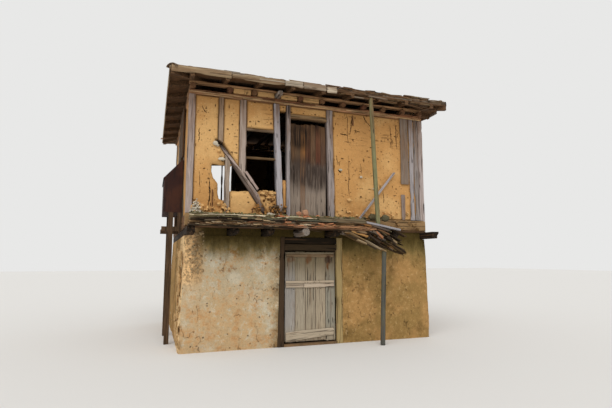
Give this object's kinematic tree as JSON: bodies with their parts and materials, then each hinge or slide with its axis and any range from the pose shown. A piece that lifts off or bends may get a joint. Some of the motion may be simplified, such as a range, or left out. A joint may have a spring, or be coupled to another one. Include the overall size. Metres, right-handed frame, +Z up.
{
  "type": "adobe house",
  "caption": "Two-storey derelict adobe house: plastered lower walls, timber-framed upper storey with a broken infill, a plank door, a decayed front ledge and a low hipped roof.",
  "frame": {"origin": "centre of the walls' footprint, on the underside of the earth floor at ground level", "axes": "+X along the front from left to right, +Y from the front to the back, +Z up"},
  "size_m": [5.75, 5.14, 5.5139],
  "materials": {
    "earth": "beaten earth",
    "plaster": "worn mud plaster",
    "adobe": "bare adobe, cracked and worn",
    "broken_clay": "broken clay and tile pieces",
    "grey_wood": "bare weathered timber, silver grey",
    "brown_wood": "bare aged timber, dark brown",
    "door_wood": "bare weathered boards",
    "iron": "rusty forged iron",
    "clay_tiles": "weathered clay tiles",
    "rusty_sheet": "rusty sheet metal"
  },
  "bodies": {
    "house": {"earth_floor": "earth", "lower_front_wall_left": "plaster", "lower_front_wall_right": "plaster", "lower_left_wall": "adobe", "lower_right_wall": "adobe", "lower_back_wall": "adobe", "door_posts": "brown_wood", "over_door_boards": "brown_wood", "lower_lintel": "brown_wood", "door_pintles": "iron", "floor_joists": "brown_wood", "floor_fill": "adobe", "floor_boards": "brown_wood", "clay_floor": "earth", "sill_beams": "brown_wood", "ledge_boards": "grey_wood", "ledge_rubble": "broken_clay", "ledge_planks": "grey_wood", "fallen_boards": "grey_wood", "ledge_post": "grey_wood", "eave_pole": "grey_wood", "corner_posts": "grey_wood", "front_studs": "grey_wood", "front_braces": "grey_wood", "window_bars": "brown_wood", "upper_door_jambs": "grey_wood", "upper_door_lintel": "brown_wood", "upper_door": "brown_wood", "front_infill_left": "adobe", "front_infill_right": "adobe", "right_corner_boards": "grey_wood", "side_studs": "grey_wood", "back_studs": "grey_wood", "upper_left_wall": "adobe", "upper_right_wall": "adobe", "upper_back_wall": "adobe", "top_plates": "brown_wood", "ceiling_joists": "brown_wood", "eave_fill": "adobe", "rafters": "brown_wood", "ridge_and_hips": "brown_wood", "roof_boards": "brown_wood", "roof_cover": "clay_tiles", "eave_boards": "grey_wood", "left_wall_boards": "brown_wood", "side_closet": "rusty_sheet", "closet_frame": "brown_wood"},
    "door_leaf": {"lower_door": "door_wood", "door_straps": "iron"}
  },
  "joints": [
    {"name": "lower_door_hinge", "type": "hinge", "parent": "house", "child": "door_leaf", "pos_m": [0.432, -1.9857, 0.9], "axis": [0, 0, -1], "range_deg": [0, 100]}
  ]
}
